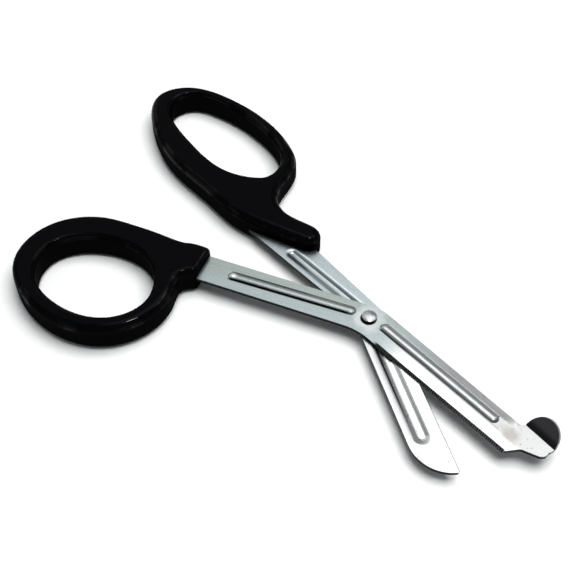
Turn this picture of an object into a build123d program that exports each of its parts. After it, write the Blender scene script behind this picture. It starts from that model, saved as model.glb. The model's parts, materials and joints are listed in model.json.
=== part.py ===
from build123d import *
from math import atan2, cos, degrees, hypot, radians, sin, tan
import os

os.makedirs("parts", exist_ok=True)

# Bandage scissors lying open on a table, in millimetres, Z up, table at zero.
# Each half is drawn about the rivet's axis with its blade along +X, then turned and set in its place.

# Place of the rivet's axis in the frame, whose origin is the middle of the open scissors on the table
PIVOT_X = 29.3
PIVOT_Y = 20.6

# Angles in degrees
OPEN_ANGLE = 25.1
UPPER_BEND = 26.3
LOWER_BEND = 25.8

# Stamped sheet and the faces that slide on each other
SHEET = 1.2
SHEAR_GAP = 0.1
HANDLE_HEIGHT = 9.6

# Serrated upper blade: edge lines and lengths measured from the rivet's axis
UPPER_SHANK_TOP = 4.5
UPPER_SHANK_BOTTOM = -5.7
UPPER_SPINE = 5.1
UPPER_SPINE_END = 4.7
UPPER_EDGE = -6.0
UPPER_EDGE_END = -5.6
TEETH_START = 8.6
TEETH_END = 57.7
TOE_LENGTH = 9.2
UPPER_HEEL_ROUND = 20.0
UPPER_BACK_ROUND = 10.0
SPINE_END_ROUND = 1.2
TEETH_END_ROUND = 0.3
TOE_STEP = 3.0
TOE_STEP_RISE = 4.3
TOE_STEP_ROUND = 2.5
TOE_RISE = 6.8
TOE_ROUND = 2.2

# Plain lower blade
LOWER_SHANK_TOP = 7.7
LOWER_SHANK_BOTTOM = -2.4
LOWER_SHANK_CORNER = 29.0
LOWER_SPINE = -4.3
LOWER_EDGE = 6.2
LOWER_HEEL = 0.5
LOWER_TIP = 56.9
LOWER_TIP_LEAN = 2.0
LOWER_TIP_ROUND = 12.0
LOWER_BEVEL_START = 6.0
LOWER_BACK_ROUND = 20.0
LOWER_POINT_ROUND = 0.3
LOWER_HEEL_ROUND = 8.0
LOWER_CORNER_ROUND = 12.0

# Ground bevels and the teeth cut across the upper one
BEVEL_RUN = 0.75
EDGE_LAND = 0.12
TOOTH_PITCH = 0.7
TOOTH_DEPTH = 0.32
GRIND_ANGLE = 2.5
GRIND_START = 4.6
GRIND_RUN_IN = 14.0
GRIND_LINE = -1.25

# Foot folded up at the upper blade's tip
FOLD_LENGTH = 10.0
FOLD_SETBACK = 0.4
FOLD_OFFSET = 5.5
FOLD_SKEW = -0.4
FOLD_ANGLE = 38.0
FOLD_RADIUS = 0.8
DISH_ANGLE = 20.0
DISH_RADIUS = 14.0
FOOT_RISE = 6.2
FOOT_BULGE = 0.5

# Pressed ribs: height, a side's run as a share of the width, rounded share of the crest, then their sizes
RIB_HEIGHT = 0.6
RIB_SIDE_SHARE = 0.28
RIB_CREST_SHARE = 0.9
CHANNEL_SIDE_SHARE = 0.3
CHANNEL_CREST_SHARE = 0.5
CHANNEL_LIP_ROUND = 2.6
SHANK_RIB_WIDTH = 3.5
UPPER_SHANK_RIB_LENGTH = 42.6
UPPER_SHANK_RIB_OFFSET = 0.5
UPPER_SHANK_RIB_LEAN = -1.0
LOWER_SHANK_RIB_LENGTH = 33.3
LOWER_SHANK_RIB_OFFSET = 1.2
BLADE_RIB_WIDTH = 3.3
BLADE_RIB_LENGTH = 46.2
BLADE_RIB_OFFSET = 0.75
CHANNEL_WIDTH = 5.0
CHANNEL_LENGTH = 41.1
CHANNEL_OFFSET = 0.3
RIB_START = 4.5

# Tangs inside the handles
TANG_WIDTH = 6.0
TANG_NECK = 6.0
TANG_END_ROUND = 2.4
TANG_SHOULDER_ROUND = 1.0
UPPER_TANG_START = 2.7
UPPER_TANG_LENGTH = 20.0
UPPER_TANG_OFFSET = 0.5
LOWER_TANG_START = 20.6
LOWER_TANG_LENGTH = 30.0
LOWER_TANG_OFFSET = 2.2
KEY_HOLE = 3.0

# Handles: distances and lengths, then the rounds of their edges in hundredths of the length
NOSE_DISTANCE = 55.8
THUMB_LENGTH = 64.1
THUMB_OUTER_SHARE = 4.2
THUMB_HOLE_SHARE = 3.0
THUMB_NOSE_SHARE = 2.35
BEAK_DISTANCE = 32.4
FINGER_LENGTH = 92.8
FINGER_OUTER_SHARE = 2.9
FINGER_HOLE_SHARE = 2.05

# Rivet
RIVET_RADIUS = 1.9
RIVET_CLEARANCE = 0.05
HEAD_RADIUS = 2.35
HEAD_RIM = 0.7
HEAD_DOME = 0.45
HEAD_ROUND = 0.25
TAIL_RADIUS = 2.5
TAIL_HEIGHT = 0.7

SHEAR_PLANE = HANDLE_HEIGHT / 2
UPPER_FLOOR = SHEAR_PLANE + SHEAR_GAP / 2
UPPER_FACE = UPPER_FLOOR + SHEET
LOWER_FACE = SHEAR_PLANE - SHEAR_GAP / 2
LOWER_FLOOR = LOWER_FACE - SHEET


def on_shank(bend, distance, offset):
    """Point at a distance from the rivet along a shank, and an offset across it."""
    c = cos(radians(bend))
    s = sin(radians(bend))
    return (-distance * c - offset * s, -distance * s + offset * c)


def rounded_face(corners):
    """Face with straight sides between corners given as (point, corner radius)."""
    face = make_face(Polyline(*[point for point, radius in corners], close=True))
    for point, radius in corners:
        if radius > 0:
            vertex = face.vertices().sort_by_distance((point[0], point[1], 0))[0]
            face = fillet(vertex, radius)
    return face


def sheet_plate(corners, floor):
    return extrude(Pos(0, 0, floor) * rounded_face(corners), SHEET)


def pressed_form(start, end, width, side_share, crest_share):
    """Long ridge with sloping sides, round ends and a rounded crest, standing on the plane z = 0."""
    length = hypot(end[0] - start[0], end[1] - start[1])
    angle = degrees(atan2(end[1] - start[1], end[0] - start[0]))
    side = side_share * width
    crest_round = crest_share * (width / 2 - side) / tan(atan2(RIB_HEIGHT, side) / 2)
    foot = SlotOverall(length, width)
    crest = Pos(0, 0, RIB_HEIGHT) * SlotOverall(length - 2 * side, width - 2 * side)
    ridge = loft([foot.face(), crest.face()])
    ridge = fillet(ridge.edges().group_by(Axis.Z)[-1], crest_round)
    middle = ((start[0] + end[0]) / 2, (start[1] + end[1]) / 2, 0)
    return Location(middle, (0, 0, angle)) * ridge


def press_up(plate, start, end, width):
    """Press a rib upward in the upper sheet: raised above it, hollow below."""
    ridge = pressed_form(start, end, width, RIB_SIDE_SHARE, RIB_CREST_SHARE)
    hollow = pressed_form(start, end, width - SHEET / 2, RIB_SIDE_SHARE, RIB_CREST_SHARE)
    return plate + Pos(0, 0, UPPER_FACE) * ridge - Pos(0, 0, UPPER_FLOOR) * hollow


def press_down(plate, start, end, width):
    """Press a rib downward in the lower sheet: a channel with rounded lips above, raised below."""
    middle = ((start[0] + end[0]) / 2, (start[1] + end[1]) / 2, LOWER_FACE)
    below_start = (start[0], -start[1])
    below_end = (end[0], -end[1])
    shares = (CHANNEL_SIDE_SHARE, CHANNEL_CREST_SHARE)
    turn = Rot(180, 0, 0)
    channel = turn * pressed_form(below_start, below_end, width, *shares)
    ridge = turn * pressed_form(below_start, below_end, width + SHEET / 2, *shares)
    plate = plate + Pos(0, 0, LOWER_FLOOR) * ridge - Pos(0, 0, LOWER_FACE) * channel
    face = plate.faces().filter_by(Axis.Z).group_by(Axis.Z)[-1].sort_by(SortBy.AREA)[-1]
    lips = face.inner_wires().sort_by_distance(middle)[0]
    return fillet(lips.edges(), CHANNEL_LIP_ROUND)


def tang_corners(bend, top, bottom, middle, start, end):
    """Corners of the narrowed tang, from the upper edge round to the lower edge of the shank."""
    half = TANG_WIDTH / 2
    neck = start + TANG_NECK
    return [
        (on_shank(bend, start, top), TANG_SHOULDER_ROUND),
        (on_shank(bend, neck, middle + half), TANG_SHOULDER_ROUND),
        (on_shank(bend, end, middle + half), TANG_END_ROUND),
        (on_shank(bend, end, middle - half), TANG_END_ROUND),
        (on_shank(bend, neck, middle - half), TANG_SHOULDER_ROUND),
        (on_shank(bend, start, bottom), TANG_SHOULDER_ROUND),
    ]


def crossing(bend, offset, level):
    """Where a shank's edge line meets a blade's edge line, which runs along X."""
    x = (level * cos(radians(bend)) - offset) / sin(radians(bend))
    return (x, level)


def key_hole(bend, distance, offset, floor):
    x, y = on_shank(bend, distance, offset)
    return Pos(x, y, floor + SHEET / 2) * Cylinder(KEY_HOLE / 2, 2 * SHEET)


def toothed_bevel():
    """Everything outside the ground edge of the upper blade, with the teeth left standing."""
    run = TEETH_END - TEETH_START
    rise = UPPER_EDGE_END - UPPER_EDGE
    along = Vector(run, rise, 0).normalized()
    outward = Vector(along.Y, -along.X, 0)
    slope = (outward * BEVEL_RUN - Vector(0, 0, SHEET - EDGE_LAND)).normalized()
    edge_start = Vector(TEETH_START, UPPER_EDGE, UPPER_FLOOR + EDGE_LAND)
    count = round(hypot(run, rise) / TOOTH_PITCH)
    zigzag = [(0, 0)]
    for i in range(count):
        zigzag.append(((i + 0.5) * TOOTH_PITCH, -TOOTH_DEPTH))
        zigzag.append(((i + 1) * TOOTH_PITCH, 0))
    reach = 3 * SHEET
    end = (count + 1) * TOOTH_PITCH
    outline = zigzag + [(end, 0), (end, reach), (0, reach)]
    plane = Plane(origin=edge_start, x_dir=along, z_dir=slope)
    return extrude(plane * make_face(Polyline(*outline, close=True)), 2 * reach, both=True)


def ground_side():
    """Wedge ground off the upper blade between its rib and its edge, running in gently past the rivet."""
    outer = UPPER_EDGE - SHEET
    full_depth = (GRIND_LINE - outer) * tan(radians(GRIND_ANGLE))

    def section(x, depth):
        corners = [(GRIND_LINE, UPPER_FACE), (outer, UPPER_FACE - depth), (outer, UPPER_FACE + SHEET)]
        return Plane.YZ.offset(x) * make_face(Polyline(*corners, close=True))

    full_start = GRIND_START + GRIND_RUN_IN
    run_in = loft([section(GRIND_START, 0), section(full_start, full_depth)], ruled=True)
    return run_in + extrude(section(full_start, full_depth), TEETH_END + TOE_LENGTH - full_start)


def folded_foot(fold_start, fold_end):
    """Half-disc foot, folded up along a line on the upper blade's face and slightly dished."""
    length = hypot(fold_end[0] - fold_start[0], fold_end[1] - fold_start[1])
    angle = degrees(atan2(fold_end[1] - fold_start[1], fold_end[0] - fold_start[0]))
    back = DISH_RADIUS - FOLD_RADIUS
    lean = radians(FOLD_ANGLE)
    dish_centre = (-back * sin(lean), FOLD_RADIUS + back * cos(lean))
    flat = Line((-SHEET, 0), (0, 0))
    fold = CenterArc((0, FOLD_RADIUS), FOLD_RADIUS, -90, FOLD_ANGLE)
    dish = CenterArc(dish_centre, DISH_RADIUS, FOLD_ANGLE - 90, 2 * DISH_ANGLE)
    strip = offset(Wire([flat, fold, dish]), SHEET, side=Side.RIGHT, closed=True)
    bent = extrude(Plane.YZ * make_face(strip), 2 * length, both=True)
    half = (length + FOOT_BULGE) / 2
    disc = Pos(half, 0) * Ellipse(half, FOOT_RISE)
    root = Pos(length / 2, -SHEET) * Rectangle(length, 2 * SHEET)
    punch = Rot(FOLD_ANGLE + DISH_ANGLE / 2, 0, 0) * extrude(disc + root, 3 * FOOT_RISE, both=True)
    return Location((*fold_start, UPPER_FACE), (0, 0, angle)) * (bent & punch)


def serrated_blade():
    bend = UPPER_BEND
    toe = TEETH_END + TOE_LENGTH
    fold_end = (toe - FOLD_SETBACK, FOLD_OFFSET + FOLD_SKEW)
    fold_start = (fold_end[0] - FOLD_LENGTH, FOLD_OFFSET)
    tang_start = NOSE_DISTANCE + UPPER_TANG_START
    tang_end = tang_start + UPPER_TANG_LENGTH
    tang = tang_corners(bend, UPPER_SHANK_TOP, UPPER_SHANK_BOTTOM, UPPER_TANG_OFFSET, tang_start, tang_end)
    corners = tang + [
        (crossing(bend, UPPER_SHANK_BOTTOM, UPPER_EDGE), UPPER_HEEL_ROUND),
        ((TEETH_END, UPPER_EDGE_END), TEETH_END_ROUND),
        ((TEETH_END + TOE_STEP, UPPER_EDGE_END + TOE_STEP_RISE), TOE_STEP_ROUND),
        ((toe, UPPER_EDGE_END + TOE_RISE), TOE_ROUND),
        (fold_end, 0),
        (fold_start, 0),
        ((fold_start[0] - SHEET, UPPER_SPINE_END), SPINE_END_ROUND),
        (crossing(bend, UPPER_SHANK_TOP, UPPER_SPINE), UPPER_BACK_ROUND),
    ]
    blade = sheet_plate(corners, UPPER_FLOOR)
    blade = blade + folded_foot(fold_start, fold_end)
    rib_start = on_shank(bend, RIB_START, UPPER_SHANK_RIB_OFFSET)
    far_offset = UPPER_SHANK_RIB_OFFSET + UPPER_SHANK_RIB_LEAN
    rib_end = on_shank(bend, RIB_START + UPPER_SHANK_RIB_LENGTH, far_offset)
    blade = press_up(blade, rib_end, rib_start, SHANK_RIB_WIDTH)
    rib_end = (RIB_START + BLADE_RIB_LENGTH, BLADE_RIB_OFFSET)
    blade = press_up(blade, (RIB_START, BLADE_RIB_OFFSET), rib_end, BLADE_RIB_WIDTH)
    blade = blade - ground_side() - toothed_bevel()
    blade = blade - key_hole(bend, tang_end - TANG_WIDTH, UPPER_TANG_OFFSET, UPPER_FLOOR)
    return blade - Pos(0, 0, UPPER_FLOOR) * Cylinder(RIVET_RADIUS, 4 * SHEET)


def plain_bevel():
    """Everything below the ground edge of the lower blade."""
    bevel = make_face(Polyline(
        (LOWER_EDGE, LOWER_FACE - EDGE_LAND),
        (LOWER_EDGE - BEVEL_RUN, LOWER_FLOOR),
        (LOWER_EDGE - BEVEL_RUN, LOWER_FLOOR - SHEET),
        (LOWER_EDGE + SHEET, LOWER_FLOOR - SHEET),
        (LOWER_EDGE + SHEET, LOWER_FACE - EDGE_LAND),
        close=True,
    ))
    return Pos(LOWER_BEVEL_START, 0, 0) * extrude(Plane.YZ * bevel, LOWER_TIP)


def plain_blade():
    bend = LOWER_BEND
    tang_start = BEAK_DISTANCE + LOWER_TANG_START
    tang_end = tang_start + LOWER_TANG_LENGTH
    tang = tang_corners(bend, LOWER_SHANK_TOP, LOWER_SHANK_BOTTOM, LOWER_TANG_OFFSET, tang_start, tang_end)
    corners = tang + [
        (crossing(bend, LOWER_SHANK_BOTTOM, LOWER_SPINE), LOWER_BACK_ROUND),
        ((LOWER_TIP - LOWER_TIP_LEAN, LOWER_SPINE), LOWER_TIP_ROUND),
        ((LOWER_TIP, LOWER_EDGE), LOWER_POINT_ROUND),
        ((LOWER_HEEL, LOWER_EDGE), LOWER_HEEL_ROUND),
        (on_shank(bend, LOWER_SHANK_CORNER, LOWER_SHANK_TOP), LOWER_CORNER_ROUND),
    ]
    blade = sheet_plate(corners, LOWER_FLOOR)
    rib_start = on_shank(bend, RIB_START, LOWER_SHANK_RIB_OFFSET)
    rib_end = on_shank(bend, RIB_START + LOWER_SHANK_RIB_LENGTH, LOWER_SHANK_RIB_OFFSET)
    blade = press_down(blade, rib_end, rib_start, SHANK_RIB_WIDTH)
    channel_end = (RIB_START + CHANNEL_LENGTH, CHANNEL_OFFSET)
    blade = press_down(blade, (RIB_START, CHANNEL_OFFSET), channel_end, CHANNEL_WIDTH)
    blade = blade - plain_bevel()
    blade = blade - key_hole(bend, tang_end - TANG_WIDTH, LOWER_TANG_OFFSET, LOWER_FLOOR)
    return blade - Pos(0, 0, LOWER_FLOOR) * Cylinder(RIVET_RADIUS + RIVET_CLEARANCE, 4 * SHEET)


def closed_curve(bend, start, length, points):
    """Face inside a smooth closed curve, its points in hundredths of a length along and across a shank."""
    unit = length / 100
    return make_face(Spline(*[on_shank(bend, start + x * unit, y * unit) for x, y in points], periodic=True))


def moulded_ring(bend, start, length, outline, hole, outer_share, hole_share):
    """Moulding of full height round a finger hole, with edges rounded in hundredths of its length."""
    body = extrude(closed_curve(bend, start, length, outline), HANDLE_HEIGHT)
    body = fillet(body.edges().filter_by(GeomType.LINE, reverse=True), outer_share * length / 100)
    body = body - extrude(closed_curve(bend, start, length, hole), HANDLE_HEIGHT)
    level_faces = body.faces().filter_by(Axis.Z)
    rims = [edge for face in level_faces for wire in face.inner_wires() for edge in wire.edges()]
    return fillet(rims, hole_share * length / 100)


def thumb_handle(blade):
    """Rounder ring, with a straight arm that ends square across the shank."""
    bend = UPPER_BEND
    outline = [
        (12.8, 8.6), (-4.1, 8.3), (-10.8, 4.4), (-10.8, -5.0), (-3.7, -9.0), (5.3, -13.6),
        (5.1, -24.3), (22.3, -57.4), (43.1, -62.4), (79.9, -46.3), (87.8, -35.1), (86.1, -10.8),
        (59.6, 8.6), (43.7, 9.5), (28.1, 9.0),
    ]
    hole = [
        (16.7, -38.5), (27.8, -49.6), (59.0, -49.1), (72.5, -39.2), (74.9, -21.7), (27.8, -9.0),
        (17.3, -20.4),
    ]
    shares = (THUMB_OUTER_SHARE, THUMB_HOLE_SHARE)
    body = moulded_ring(bend, NOSE_DISTANCE, THUMB_LENGTH, outline, hole, *shares)
    reach = HANDLE_HEIGHT
    x, y = on_shank(bend, NOSE_DISTANCE - reach, 0)
    body = body - Location((x, y, SHEAR_PLANE), (0, 0, bend)) * Box(2 * reach, 4 * reach, 2 * reach)
    front = body.faces().sort_by_distance((*on_shank(bend, NOSE_DISTANCE, 0), SHEAR_PLANE))[0]
    return fillet(front.edges(), THUMB_NOSE_SHARE * THUMB_LENGTH / 100) - blade


def finger_handle(blade):
    """Long ring, with a beak beside which the upper shank swings in."""
    outline = [
        (0.2, 6.9), (0.1, 10.7), (2.9, 13.1), (7.4, 12.9), (18.4, 10.7), (23.8, 12.4),
        (33.9, 30.5), (41.8, 35.2), (77.5, 37.0), (98.1, 25.5), (100.1, 17.6), (86.4, 3.8),
        (63.4, -3.1), (45.4, -3.4), (29.3, -3.7), (15.1, 0.2), (3.4, 4.5),
    ]
    hole = [
        (36.9, 15.3), (45.4, 9.5), (68.4, 8.4), (92.3, 20.4), (90.9, 25.6), (81.3, 31.1),
        (69.2, 33.4), (35.6, 20.6),
    ]
    shares = (FINGER_OUTER_SHARE, FINGER_HOLE_SHARE)
    return moulded_ring(LOWER_BEND, BEAK_DISTANCE, FINGER_LENGTH, outline, hole, *shares) - blade


def rivet():
    """Domed head on the upper face, shaft through both blades, peened tail below."""
    tail_top = LOWER_FLOOR - RIVET_CLEARANCE
    rim = UPPER_FACE + HEAD_RIM
    crown = rim + HEAD_DOME
    dome = ThreePointArc((0, crown), (HEAD_RADIUS * 0.6, crown - HEAD_DOME * 0.35), (HEAD_RADIUS, rim))
    sides = Polyline(
        (HEAD_RADIUS, rim),
        (HEAD_RADIUS, UPPER_FACE),
        (RIVET_RADIUS, UPPER_FACE),
        (RIVET_RADIUS, tail_top),
        (TAIL_RADIUS, tail_top),
        (TAIL_RADIUS, tail_top - TAIL_HEIGHT / 2),
        (TAIL_RADIUS - TAIL_HEIGHT / 2, tail_top - TAIL_HEIGHT),
        (0, tail_top - TAIL_HEIGHT),
        (0, crown),
    )
    solid = revolve(Plane.XZ * make_face([dome, sides]), Axis.Z)
    head_edge = solid.edges().sort_by_distance((HEAD_RADIUS, 0, rim))[0]
    return fillet(head_edge, HEAD_ROUND)


def placed(shape, turn):
    return Pos(PIVOT_X, PIVOT_Y, 0) * Rot(0, 0, turn) * shape


upper = serrated_blade()
lower = plain_blade()
export_step(placed(upper, 0), "parts/serrated_blade.step")
export_step(placed(thumb_handle(upper), 0), "parts/thumb_handle.step")
export_step(placed(rivet(), 0), "parts/rivet.step")
export_step(placed(lower, -OPEN_ANGLE), "parts/plain_blade.step")
export_step(placed(finger_handle(lower), -OPEN_ANGLE), "parts/finger_handle.step")
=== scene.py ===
import json
from math import pi, radians
from types import SimpleNamespace

import bpy
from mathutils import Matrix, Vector

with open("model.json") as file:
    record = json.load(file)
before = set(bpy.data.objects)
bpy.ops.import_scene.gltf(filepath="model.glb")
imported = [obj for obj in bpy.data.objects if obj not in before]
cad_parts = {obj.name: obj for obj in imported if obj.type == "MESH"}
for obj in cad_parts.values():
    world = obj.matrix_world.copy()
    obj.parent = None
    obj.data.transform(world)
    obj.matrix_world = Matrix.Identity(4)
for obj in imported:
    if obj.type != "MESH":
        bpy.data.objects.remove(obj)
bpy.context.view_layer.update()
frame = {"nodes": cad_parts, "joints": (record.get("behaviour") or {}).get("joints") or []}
pivot = Vector(frame["joints"][0]["pos_m"])
millimetresPerMetre = 1000.0
print("frame loaded:", ", ".join(sorted(frame["nodes"])))


class Wire:  # one socket of a node tree, so that shader maths reads as plain sums
    def __init__(self, tree, socket=None):
        self.tree = tree
        self.socket = socket

    def node(self, kind, settings=None, inputs=None, output=0):
        made = self.tree.nodes.new(kind)
        for name, value in (settings or {}).items():
            if name == "stops":  # the two ends of a colour ramp
                for element, (place, colour) in zip(made.color_ramp.elements, value):
                    element.position = place
                    element.color = colour
            else:
                setattr(made, name, value)
        for name, value in (inputs or {}).items():
            if isinstance(value, Wire):
                self.tree.links.new(value.socket, made.inputs[name])
            else:
                made.inputs[name].default_value = value
        return Wire(self.tree, made.outputs[output] if made.outputs else None)

    def math(self, operation, first, second=0.0):
        return self.node("ShaderNodeMath", {"operation": operation}, {0: first, 1: second})

    def __add__(self, other):
        return self.math("ADD", self, other)

    def __radd__(self, other):
        return self.math("ADD", other, self)

    def __sub__(self, other):
        return self.math("SUBTRACT", self, other)

    def __rsub__(self, other):
        return self.math("SUBTRACT", other, self)

    def __mul__(self, other):
        return self.math("MULTIPLY", self, other)

    def __rmul__(self, other):
        return self.math("MULTIPLY", other, self)

    def absolute(self):
        return self.math("ABSOLUTE", self)

    def sine(self):
        return self.math("SINE", self)

    def larger(self, other):
        return self.math("MAXIMUM", self, other)

    def centred(self):  # a noise that goes to both sides of 0
        return self - 0.5

    def after(self, low, high):  # 0 below low, 1 above high, smooth between
        return self.node(
            "ShaderNodeMapRange",
            {"interpolation_type": "SMOOTHSTEP"},
            {"Value": self, "From Min": low, "From Max": high, "To Min": 0.0, "To Max": 1.0},
        )

    def before(self, low, high):  # 1 below low, 0 above high, smooth between
        return 1.0 - self.after(low, high)

    def near(self, line, inner, outer):  # 1 within inner of a line, 0 farther from it than outer
        return (self - line).absolute().before(inner, outer)

    def vector(self, operation, other, output="Vector"):
        return self.node("ShaderNodeVectorMath", {"operation": operation}, {0: self, 1: other}, output)

    def stretched(self, scale):
        return self.vector("MULTIPLY", scale)

    def distance(self, point):
        return self.vector("DISTANCE", point, "Value")

    def turned(self, centre, angle):  # object coordinates in millimetres about a centre, turned by degrees
        moved = self.vector("SUBTRACT", centre).stretched((millimetresPerMetre,) * 3)
        return self.node(
            "ShaderNodeVectorRotate", {"rotation_type": "Z_AXIS"}, {"Vector": moved, "Angle": -radians(angle)}
        )

    def noise(self, detail, roughness):
        return self.node(
            "ShaderNodeTexNoise", {}, {"Vector": self, "Scale": 1.0, "Detail": detail, "Roughness": roughness}
        )

    def axis(self, index):
        return self.node("ShaderNodeSeparateXYZ", {}, {0: self}, index)

    def mix(self, first, second):  # this value chooses between two colours
        return self.node("ShaderNodeMix", {"data_type": "RGBA"}, {0: self, 6: first, 7: second}, 2)


def rgb(red, green, blue):
    return (red, green, blue, 1.0)


def newMaterial(name):
    material = bpy.data.materials.new(name)
    material.use_nodes = True
    material.node_tree.nodes.clear()
    wire = Wire(material.node_tree)
    return material, wire, wire.node("ShaderNodeTexCoord", output="Object")


def upwardness(wire):  # 1 on top faces, 0 on walls, -1 underneath
    return wire.node("ShaderNodeNewGeometry", output="Normal").axis(2)


def finishMaterial(material, wire, sockets):
    shader = wire.node("ShaderNodeBsdfPrincipled", {}, sockets)
    wire.node("ShaderNodeOutputMaterial", {}, {"Surface": shader})
    return material


def dress(node, material):
    materials = frame["nodes"][node].data.materials
    for index in range(len(materials)):
        materials[index] = material


inPlan = (1.0, 1.0, 0.0)  # leaves the height out of a distance
pivotAxis = (0.0, 0.0, 0.0)  # where the rivet stands in turned coordinates

steelSkin = {  # what both blades share; brushing is counted per millimetre, the other patterns per metre
    "cloud": 160.0,
    "cloudRoughness": 0.08,
    "speck": {"scale": 1500.0, "size": (0.70, 0.73), "along": (20.0, 45.0), "strength": 0.8},
    "speckColour": rgb(0.05, 0.045, 0.04),
    "grain": {"scale": 2600.0, "contrast": (0.42, 0.62), "strength": 0.16},
    "grainColour": rgb(0.06, 0.065, 0.065),
    "brushing": {"fine": (0.05, 5.0, 5.0), "coarse": (0.02, 1.25, 1.25), "fineShare": 0.65},
    "brushed": {"contrast": (0.35, 0.68), "strength": 0.3, "roughness": 0.16, "bump": 0.12, "depth": 0.00005},
    "brushedColour": rgb(0.62, 0.63, 0.63),
    "bladeBegins": (-4.0, 6.0),
    "sheared": {"steep": (0.25, 0.45), "roughness": 0.5},
    # painted shade: steep sheared faces, the teeth's bevel, the plain blade's cutting line and the rivet's
    # rim are painted near black
    "edgeShadeColour": rgb(0.010, 0.010, 0.011),
    "toothTick": rgb(0.27, 0.275, 0.28),
    "underside": (0.2, 0.6),
    "undersideShadeColour": rgb(0.15, 0.155, 0.155),
    "shadedFaces": (0.5, 0.8),
}


def brushedLines(place):  # long fine scratches along the first axis
    brushing = steelSkin["brushing"]
    fine = place.stretched(brushing["fine"]).noise(detail=3.0, roughness=0.6)
    coarse = place.stretched(brushing["coarse"]).noise(detail=2.0, roughness=0.5)
    return fine * brushing["fineShare"] + coarse * (1.0 - brushing["fineShare"])


def surveyBlade(wire, place, look):  # the places and patterns that a blade's finish is drawn with
    onBlade = place.turned(pivot, look["bladeTurn"])
    onShank = place.turned(pivot, look["shankTurn"])
    along = onBlade.axis(0)
    onward = along.after(*steelSkin["bladeBegins"])
    return SimpleNamespace(
        place=place,
        onBlade=onBlade,
        along=along,
        across=onBlade.axis(1),
        shankAlong=onShank.axis(0),
        shankAcross=onShank.axis(1),
        height=place.axis(2) * millimetresPerMetre,
        facing=upwardness(wire),
        lines=brushedLines(onBlade) * onward + brushedLines(onShank) * (1.0 - onward),
        cloud=place.stretched((steelSkin["cloud"],) * 3).noise(detail=4.0, roughness=0.6),
    )


upperSteel = {  # turns in degrees; places in millimetres from the rivet, along or across the blade or shank
    "bladeTurn": 0.0,
    "shankTurn": 26.3,
    "satin": rgb(0.375, 0.43, 0.405),
    "satinLow": rgb(0.40, 0.465, 0.475),
    "satinBlade": rgb(0.235, 0.24, 0.239),
    "shankSides": (-4.5, 3.0),
    "bladeFade": (2.0, 38.0),
    "satinRoughness": 0.33,
    "ground": rgb(0.67, 0.67, 0.665),
    "groundFrom": (6.0, 22.0),
    "grindLine": (-1.65, -1.05),
    "groundRoughness": 0.22,
    "toe": {"along": (51.0, 58.0), "wander": 14.0},
    "bevel": {"across": -5.15, "rise": 0.0082, "soft": 0.06, "from": (7.0, 9.0), "to": (57.6, 58.2)},
    "teeth": {"start": 8.6, "pitch": 0.7, "tick": (0.3, 0.8)},
    "shankRib": {"across": 0.61, "lean": 0.0235, "halfWidth": (1.6, 1.9)},
    "shankRibSpan": {"from": (-47.6, -45.5), "to": (-8.0, -4.0)},
    "shankRibColour": rgb(0.33, 0.365, 0.36),
    # painted highlight: the shank rib's end is painted almost white
    "paintedRibEndHighlight": (-45.4, -43.6),
    "paintedRibEndHighlightColour": rgb(0.96, 0.97, 0.97),
    "shankRibCrease": (-1.5, 0.2, 0.55),
    "shankRibLip": {"line": (1.7, 0.05, 0.3), "to": (-28.0, -12.0), "strength": 0.8},
    "bladeRib": {"across": 0.75, "halfWidth": (1.5, 2.1), "from": (4.0, 7.0)},
    "bladeRibColour": rgb(0.60, 0.61, 0.61),
    "bladeRibCrease": {"line": (-1.65, 0.05, 0.4), "from": (4.6, 6.0), "to": (46.0, 52.0)},
    "bladeRibCreaseFade": {"along": (12.0, 24.0), "share": 0.75},
    "headShade": {"centre": (0.1, -0.45, 0.0), "reach": (2.4, 2.75)},
    "shade": rgb(0.010, 0.0105, 0.011),
    "rubbed": {"reach": (3.4, 6.2), "wander": 9.0, "to": (5.0, 7.0), "strength": 0.8},
    "rubbedColour": rgb(0.68, 0.71, 0.715),
    "stain": {"centre": (11.1, 0.1, 0.0), "scale": (0.2, 0.26, 0.0), "reach": (0.35, 1.0), "wander": 1.6},
    "stainStrength": 0.9,
    "stainColour": rgb(0.45, 0.425, 0.395),
    "foot": {"height": (5.95, 6.2), "along": (53.0, 56.0), "smoother": 0.5},
    "footShadeColour": rgb(0.105, 0.098, 0.107),
}


def groundToothedEdge(at, look):  # the flat behind the teeth and the toe are ground; the teeth's bevel is painted dark as shade, with paler ticks
    toe, bevel, teeth = look["toe"], look["bevel"], look["teeth"]
    flat = at.along.after(*look["groundFrom"]) * at.across.before(*look["grindLine"])
    ground = (at.along + at.cloud.centred() * toe["wander"]).after(*toe["along"]).larger(flat)
    fromLine = at.across - (at.along * bevel["rise"] + bevel["across"])
    onBevel = fromLine.before(-bevel["soft"], 0.0)
    onBevel = onBevel * at.along.after(*bevel["from"]) * at.along.before(*bevel["to"])
    ticks = ((at.along - teeth["start"]) * (2.0 * pi / teeth["pitch"])).sine().after(*teeth["tick"])
    return ground, onBevel, (onBevel * ticks).mix(steelSkin["edgeShadeColour"], steelSkin["toothTick"])


def pressedShankRib(at, look, satin):  # with a painted highlight at its end, and painted shade in its lower crease and along its upper lip
    rib, span, lip = look["shankRib"], look["shankRibSpan"], look["shankRibLip"]
    fromRib = at.shankAcross - (at.shankAlong * rib["lean"] + rib["across"])
    inSpan = at.shankAlong.after(*span["from"]) * at.shankAlong.before(*span["to"])
    colour = at.shankAlong.after(*look["paintedRibEndHighlight"]).mix(look["paintedRibEndHighlightColour"], look["shankRibColour"])
    onRib = fromRib.absolute().before(*rib["halfWidth"]) * inSpan
    inCrease = fromRib.near(*look["shankRibCrease"])
    onLip = fromRib.near(*lip["line"]) * at.shankAlong.before(*lip["to"]) * lip["strength"]
    return onRib.mix(satin, colour), inCrease.larger(onLip) * inSpan


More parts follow.
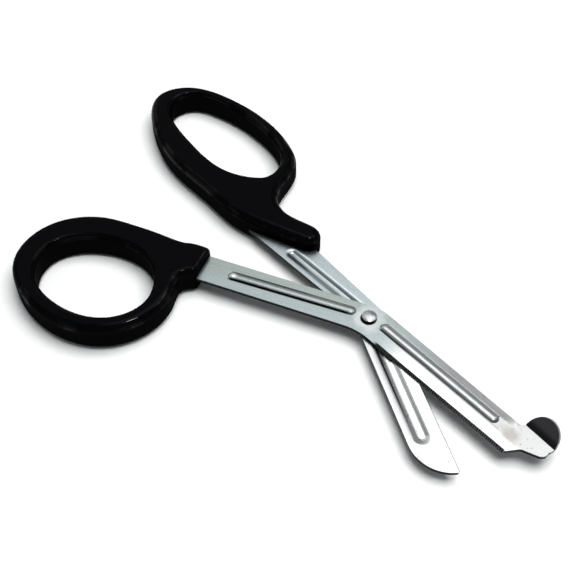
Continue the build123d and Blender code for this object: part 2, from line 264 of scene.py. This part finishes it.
def pressedBladeRib(at, look, satin):  # shaded in its lower crease, most of all beside the rivet
    rib, crease, fade = look["bladeRib"], look["bladeRibCrease"], look["bladeRibCreaseFade"]
    fromRib = at.across - rib["across"]
    onRib = fromRib.absolute().before(*rib["halfWidth"]) * at.along.after(*rib["from"])
    shade = fromRib.near(*crease["line"]) * at.along.after(*crease["from"]) * at.along.before(*crease["to"])
    shade = shade * (1.0 - at.along.after(*fade["along"]) * fade["share"])
    return onRib.mix(satin, look["bladeRibColour"]), shade


def serratedFinish(at, look):
    rubbed, headShade, stain, foot = look["rubbed"], look["headShade"], look["stain"], look["foot"]
    ground, onBevel, edgeColour = groundToothedEdge(at, look)
    satin = at.shankAcross.after(*look["shankSides"]).mix(look["satinLow"], look["satin"])
    satin = at.along.after(*look["bladeFade"]).mix(satin, look["satinBlade"])
    satin, shankShade = pressedShankRib(at, look, satin)
    satin, bladeShade = pressedBladeRib(at, look, satin)
    onSheet = at.onBlade.stretched(inPlan)
    fromRivet = onSheet.distance(pivotAxis) + at.cloud.centred() * rubbed["wander"]
    worn = fromRivet.before(*rubbed["reach"]) * at.along.before(*rubbed["to"]) * rubbed["strength"]
    besideHead = onSheet.distance(headShade["centre"]).before(*headShade["reach"])
    fromStain = at.onBlade.stretched(stain["scale"]).distance(stain["centre"])
    fromStain = fromStain + at.cloud.centred() * stain["wander"]
    return SimpleNamespace(
        satin=worn.mix(satin, look["rubbedColour"]),
        ground=ground,
        edge=onBevel,
        edgeColour=edgeColour,
        shade=shankShade.larger(bladeShade).larger(besideHead),
        stain=fromStain.before(*stain["reach"]) * look["stainStrength"],
        foot=at.height.after(*foot["height"]) * at.along.after(*foot["along"]),
    )


lowerSteel = {  # in the same units as the upper blade's
    "bladeTurn": -25.1,
    "shankTurn": 0.7,
    "satin": rgb(0.53, 0.60, 0.625),
    "satinBlade": rgb(0.46, 0.465, 0.485),
    "bladeFade": (4.0, 24.0),
    "satinRoughness": 0.30,
    "ground": rgb(0.74, 0.74, 0.735),
    "groundFrom": (2.0, 14.0),
    "groundRoughness": 0.26,
    "shadedSatinStrip": {"line": (-2.9, 0.1, 1.1), "from": (8.0, 14.0), "share": 0.7},
    "cuttingLine": {"across": (5.98, 6.10), "from": (6.0, 8.0)},
    "channelCrease": {"line": (-1.75, 0.12, 0.5), "from": (5.0, 8.0), "to": (43.0, 45.0)},
    "channelCreaseFade": {"along": (24.0, 44.0), "share": 0.9},
    "shade": rgb(0.016, 0.013, 0.022),
    "stain": {"cloud": (0.50, 0.75), "from": (30.0, 50.0)},
    "stainStrength": 0.4,
    "stainColour": rgb(0.40, 0.40, 0.405),
}


def plainFinish(at, look):  # the blade is ground but for a satin strip beside the channel, darkened as painted shade, and painted shade lies in the channel's crease
    shadedSatinStrip, cutting, stain = look["shadedSatinStrip"], look["cuttingLine"], look["stain"]
    crease, fade = look["channelCrease"], look["channelCreaseFade"]
    besideChannel = at.across.near(*shadedSatinStrip["line"]) * at.along.after(*shadedSatinStrip["from"])
    shade = at.across.near(*crease["line"]) * at.along.after(*crease["from"]) * at.along.before(*crease["to"])
    return SimpleNamespace(
        satin=at.along.after(*look["bladeFade"]).mix(look["satin"], look["satinBlade"]),
        ground=at.along.after(*look["groundFrom"]) * (1.0 - shadedSatinStrip["share"] * besideChannel),
        # painted shade: a thin near-black line along the cutting edge
        edge=at.across.after(*cutting["across"]) * at.along.after(*cutting["from"]),
        edgeColour=steelSkin["edgeShadeColour"],
        shade=shade * (1.0 - at.along.after(*fade["along"]) * fade["share"]),
        stain=at.cloud.after(*stain["cloud"]) * at.along.after(*stain["from"]) * look["stainStrength"],
        foot=None,
    )


def bladeColour(at, look, finish, sheared):
    speck, grain, brushed = steelSkin["speck"], steelSkin["grain"], steelSkin["brushed"]
    lines = at.lines.after(*brushed["contrast"]) * brushed["strength"]
    grains = at.place.stretched((grain["scale"],) * 3).noise(detail=2.0, roughness=0.6)
    grains = grains.after(*grain["contrast"]) * grain["strength"] * (1.0 - finish.ground)
    specks = at.place.stretched((speck["scale"],) * 3).noise(detail=1.0, roughness=0.4)
    specks = specks.after(*speck["size"]) * at.along.after(*speck["along"]) * speck["strength"]
    steel = finish.ground.mix(finish.satin, look["ground"])
    steel = lines.mix(steel, steelSkin["brushedColour"])
    steel = grains.mix(steel, steelSkin["grainColour"])
    steel = finish.stain.mix(steel, look["stainColour"])
    steel = specks.mix(steel, steelSkin["speckColour"])
    # painted shade: faces that turn downwards are darkened
    steel = (at.facing * -1.0).after(*steelSkin["underside"]).mix(steel, steelSkin["undersideShadeColour"])
    # painted shade: steep sheared faces and the edge bands take the near-black edge colour
    steel = sheared.mix(steel, finish.edgeColour)
    steel = (finish.shade * at.facing.after(*steelSkin["shadedFaces"])).mix(steel, look["shade"])
    # painted shade: the folded foot is darkened
    return finish.foot.mix(steel, look["footShadeColour"]) if finish.foot else steel


def bladeRoughness(at, look, finish, sheared):
    satinOverGround = look["satinRoughness"] - look["groundRoughness"]
    roughness = (1.0 - finish.ground) * satinOverGround + look["groundRoughness"]
    roughness = roughness + at.lines.centred() * steelSkin["brushed"]["roughness"]
    roughness = roughness + at.cloud.centred() * steelSkin["cloudRoughness"]
    roughness = roughness * (1.0 - sheared) + sheared * steelSkin["sheared"]["roughness"]
    return roughness * (1.0 - look["foot"]["smoother"] * finish.foot) if finish.foot else roughness


def bladeSteel(name, look, drawFinish):
    material, wire, place = newMaterial(name)
    at = surveyBlade(wire, place, look)
    finish = drawFinish(at, look)
    sheared = at.facing.absolute().before(*steelSkin["sheared"]["steep"]).larger(finish.edge)
    brushed = steelSkin["brushed"]
    bump = wire.node(
        "ShaderNodeBump", {}, {"Strength": brushed["bump"], "Distance": brushed["depth"], "Height": at.lines}
    )
    return finishMaterial(
        material,
        wire,
        {
            "Base Color": bladeColour(at, look, finish, sheared),
            "Metallic": 1.0,
            "Roughness": bladeRoughness(at, look, finish, sheared),
            "Normal": bump,
        },
    )


rivetSteel = {  # patterns are counted per millimetre
    "colour": rgb(0.58, 0.59, 0.59),
    "worn": rgb(0.42, 0.43, 0.43),
    "wornPatches": {"scale": 1.4, "contrast": (0.40, 0.7), "roughness": 0.14},
    "rings": {"perMillimetre": 5.0, "roughness": 0.03},
    "shadedRim": (0.2, 0.75),
    "roughness": 0.26,
}


def polishedRivet(look):
    material, wire, place = newMaterial("rivetSteel")
    patches, rings = look["wornPatches"], look["rings"]
    about = place.turned(pivot, 0.0)
    turning = (about.stretched(inPlan).distance(pivotAxis) * (2.0 * pi * rings["perMillimetre"])).sine()
    cloud = about.stretched((patches["scale"],) * 3).noise(detail=3.0, roughness=0.6)
    colour = cloud.after(*patches["contrast"]).mix(look["colour"], look["worn"])
    # painted shade: the head's steep rim is darkened
    colour = upwardness(wire).after(*look["shadedRim"]).mix(steelSkin["edgeShadeColour"], colour)
    roughness = cloud * patches["roughness"] + turning * rings["roughness"] + look["roughness"]
    return finishMaterial(material, wire, {"Base Color": colour, "Metallic": 1.0, "Roughness": roughness})


blackPlastic = {  # patterns are counted per millimetre
    "colour": rgb(0.0012, 0.0012, 0.0016),
    "scuffed": rgb(0.004, 0.004, 0.005),
    "scuffs": {"scale": (0.35, 4.5, 2.0), "contrast": (0.66, 0.74), "strength": 0.6, "roughness": 0.1},
    "flow": {"scale": 0.12, "streaks": (0.47, 0.60), "dullest": 0.15, "roughness": 0.2},
    "skin": {"scale": 2.2, "bump": 0.06, "depth": 0.0001},
    "flatTop": (0.90, 0.99),
    "rim": (0.05, 0.5),
    "shineOnRims": 0.34,
    "shineOnTop": 0.05,
    "shineOnSides": 0.02,
    "shineRoughness": 0.09,
    "roughness": 0.4,
}


def mouldedPlastic(look):  # black under a clear shine that is strongest on the rims, in broken streaks
    material, wire, place = newMaterial("blackPlastic")
    scuffs, flow, skin = look["scuffs"], look["flow"], look["skin"]
    local = place.turned(pivot, 0.0)
    facing = upwardness(wire)
    flowed = local.stretched((flow["scale"],) * 3).noise(detail=4.0, roughness=0.55)
    pores = local.stretched((skin["scale"],) * 3).noise(detail=2.0, roughness=0.5)
    hairs = local.stretched(scuffs["scale"]).noise(detail=2.0, roughness=0.7).after(*scuffs["contrast"])
    flat = facing.after(*look["flatTop"])
    rim = facing.after(*look["rim"]) * (1.0 - flat)
    streaks = flowed.after(*flow["streaks"]) * (1.0 - flow["dullest"]) + flow["dullest"]
    shine = rim * streaks * look["shineOnRims"] + flat * look["shineOnTop"] + look["shineOnSides"]
    bump = wire.node(
        "ShaderNodeBump", {}, {"Strength": skin["bump"], "Distance": skin["depth"], "Height": pores}
    )
    return finishMaterial(
        material,
        wire,
        {
            "Base Color": (hairs * scuffs["strength"]).mix(look["colour"], look["scuffed"]),
            "Roughness": flowed * flow["roughness"] + hairs * scuffs["roughness"] + look["roughness"],
            "Specular IOR Level": 0.0,
            "Coat Weight": shine,
            "Coat Roughness": look["shineRoughness"],
            "Normal": bump,
        },
    )


dress("serrated_blade", bladeSteel("upperSteel", upperSteel, serratedFinish))
dress("plain_blade", bladeSteel("lowerSteel", lowerSteel, plainFinish))
dress("rivet", polishedRivet(rivetSteel))
plastic = mouldedPlastic(blackPlastic)
dress("thumb_handle", plastic)
dress("finger_handle", plastic)
print("finishes set on", len(frame["nodes"]), "pieces")


tableTop = {  # size and height in metres, grain counted per metre
    "size": 6.0,
    "height": -0.0002,
    "colour": rgb(0.92, 0.92, 0.92),
    "grainColour": rgb(0.94, 0.94, 0.94),
    "grain": 400.0,
    "roughness": 0.6,
}


def addTable(look):
    bpy.ops.object.select_all(action="DESELECT")
    bpy.ops.mesh.primitive_plane_add(size=look["size"], location=(0.0, 0.0, look["height"]))
    table = bpy.context.object
    table.name = "tableTop"
    material, wire, place = newMaterial("tablePaper")
    grain = place.stretched((look["grain"],) * 3).noise(detail=3.0, roughness=0.6)
    colour = grain.mix(look["colour"], look["grainColour"])
    finishMaterial(material, wire, {"Base Color": colour, "Roughness": look["roughness"]})
    table.data.materials.append(material)


panelTurn = radians(48.4)  # the panels' sides lie along the picture's
panels = {  # they face straight down; mirrored ones show in reflections, the other one lights the table
    "farPanel": {"place": (-0.085, 0.477, 0.90), "size": (1.00, 0.48), "power": 2.9, "mirrored": True},
    "smallLamp": {"place": (0.06, 0.10, 0.95), "size": (0.12, 0.05), "power": 1.3, "mirrored": True},
    "leftPanel": {"place": (-0.95, 0.30, 0.72), "size": (1.2, 1.2), "power": 2.6, "mirrored": True},
    "tableFill": {"place": (0.11, 0.24, 0.90), "size": (0.80, 0.80), "power": 12.8, "mirrored": False},
}


def addPanels(look):
    for name, panel in look.items():
        bpy.ops.object.light_add(type="AREA", location=panel["place"], rotation=(0.0, 0.0, panelTurn))
        lamp = bpy.context.object
        lamp.name = name
        lamp.data.shape = "RECTANGLE"
        lamp.data.size, lamp.data.size_y = panel["size"]
        lamp.data.energy = panel["power"]
        lamp.visible_glossy = panel["mirrored"]
        lamp.visible_diffuse = not panel["mirrored"]


room = {
    "dark": rgb(0.022, 0.027, 0.028),
    "bright": rgb(0.10, 0.12, 0.122),
    "brightSide": (-0.738, 0.254, 0.62),
    "darkToBright": (0.35, 0.9),
    "walls": rgb(0.30, 0.315, 0.32),
    "wallTop": (0.44, 0.62),
}


def addRoom(look):  # a dark ceiling that brightens to one side, above pale walls
    world = bpy.data.worlds.new("room")
    bpy.context.scene.world = world
    world.use_nodes = True
    world.node_tree.nodes.clear()
    wire = Wire(world.node_tree)
    way = wire.node("ShaderNodeTexCoord", output="Generated")
    toward = way.vector("DOT_PRODUCT", look["brightSide"], "Value")
    darkEnd, brightEnd = look["darkToBright"]
    ceiling = wire.node(
        "ShaderNodeValToRGB",
        {"stops": ((darkEnd, look["dark"]), (brightEnd, look["bright"]))},
        {"Fac": toward * 0.5 + 0.5},
    )
    colour = way.axis(2).after(*look["wallTop"]).mix(look["walls"], ceiling)
    sky = wire.node("ShaderNodeBackground", {}, {"Color": colour, "Strength": 1.0})
    wire.node("ShaderNodeOutputWorld", {}, {"Surface": sky})


viewer = {  # places in metres, lens and sensor in millimetres
    "place": (0.1545, -0.1238, 0.2458),
    "aim": (0.0040, 0.0098, 0.00605),
    "nearest": 0.01,
    "lens": 62.5,
    "sensor": 36.0,
}


def addCamera(look):
    place = Vector(look["place"])
    bpy.ops.object.camera_add(location=place)
    camera = bpy.context.object
    camera.rotation_euler = (Vector(look["aim"]) - place).to_track_quat("-Z", "Y").to_euler()
    camera.data.sensor_width = look["sensor"]
    camera.data.lens = look["lens"]
    camera.data.clip_start = look["nearest"]
    bpy.context.scene.camera = camera
    bpy.context.scene.view_settings.view_transform = "Standard"


addTable(tableTop)
addPanels(panels)
addRoom(room)
addCamera(viewer)
print("table, light and camera set")
